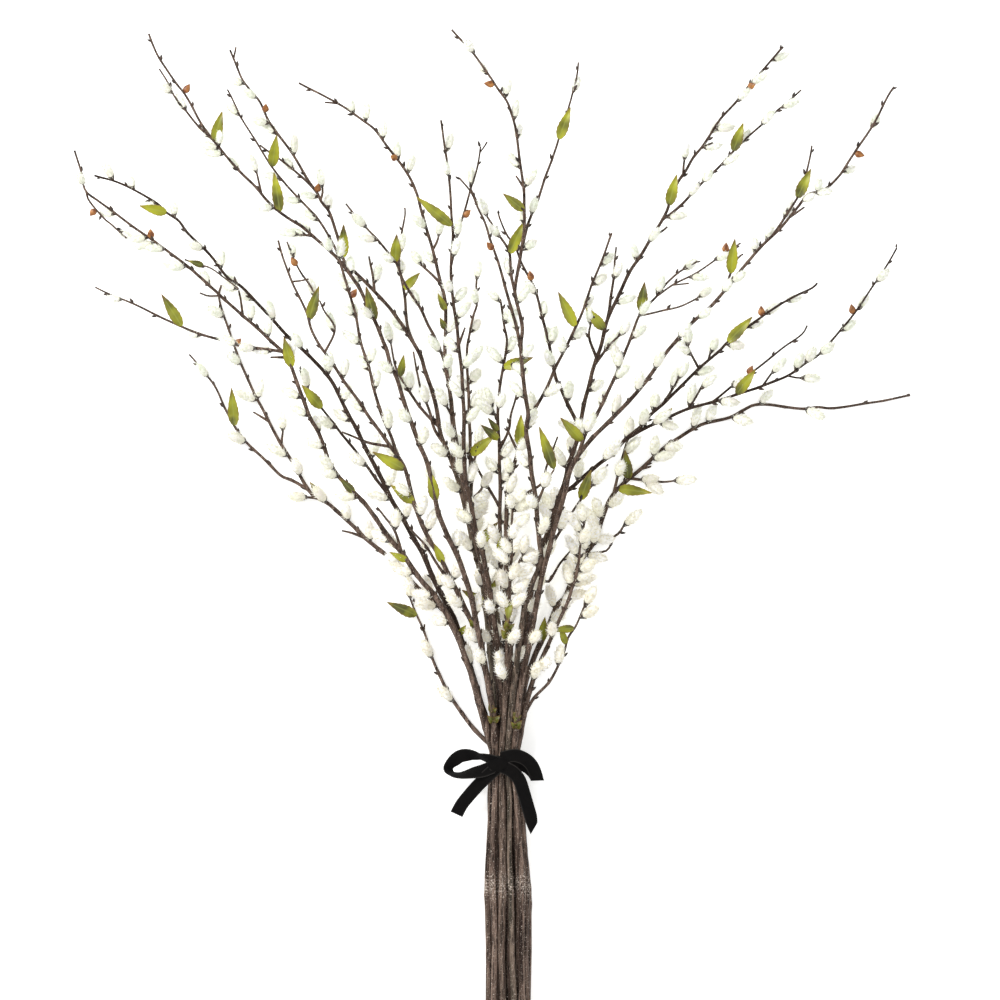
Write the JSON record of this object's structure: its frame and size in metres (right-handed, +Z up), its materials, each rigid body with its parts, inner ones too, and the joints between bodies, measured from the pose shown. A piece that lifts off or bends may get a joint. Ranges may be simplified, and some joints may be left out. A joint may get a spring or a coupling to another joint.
{
  "type": "bunch of pussy willow twigs",
  "caption": "Tied bunch of cut pussy willow twigs with catkins, young leaves and a black velvet bow, lying flat.",
  "frame": {"origin": "flat underside of the ribbon's wrap, below the middle of the tie, on the surface that the bunch lies on", "axes": "+Y from the cut ends to the tips, +Z up from the surface towards the bow, +X to the right as seen from above"},
  "size_m": [1.0031, 1.2032, 0.2251],
  "materials": {
    "bark": "rough, unfinished willow bark with pale flecks",
    "catkin": "soft silky fur",
    "leaf": "thin fresh leaf with a faint gloss",
    "bud_scale": "thin papery russet scale",
    "velvet": "black velvet pile"
  },
  "bodies": {
    "root": {"ribbon": "velvet", "stem_arc": "bark", "stem_far_left": "bark", "stem_inner_left": "bark", "stem_left_low": "bark", "stem_left_second": "bark", "stem_left_third": "bark", "stem_middle_bushy": "bark", "stem_middle_fork": "bark", "stem_middle_high": "bark", "stem_middle_low": "bark", "stem_right_bushy": "bark", "stem_right_curve": "bark", "stem_right_leader": "bark", "stem_right_low": "bark", "stem_right_second": "bark", "stem_right_trunk": "bark", "stem_top_arc": "bark", "stem_top_left": "bark"}
  },
  "joints": []
}
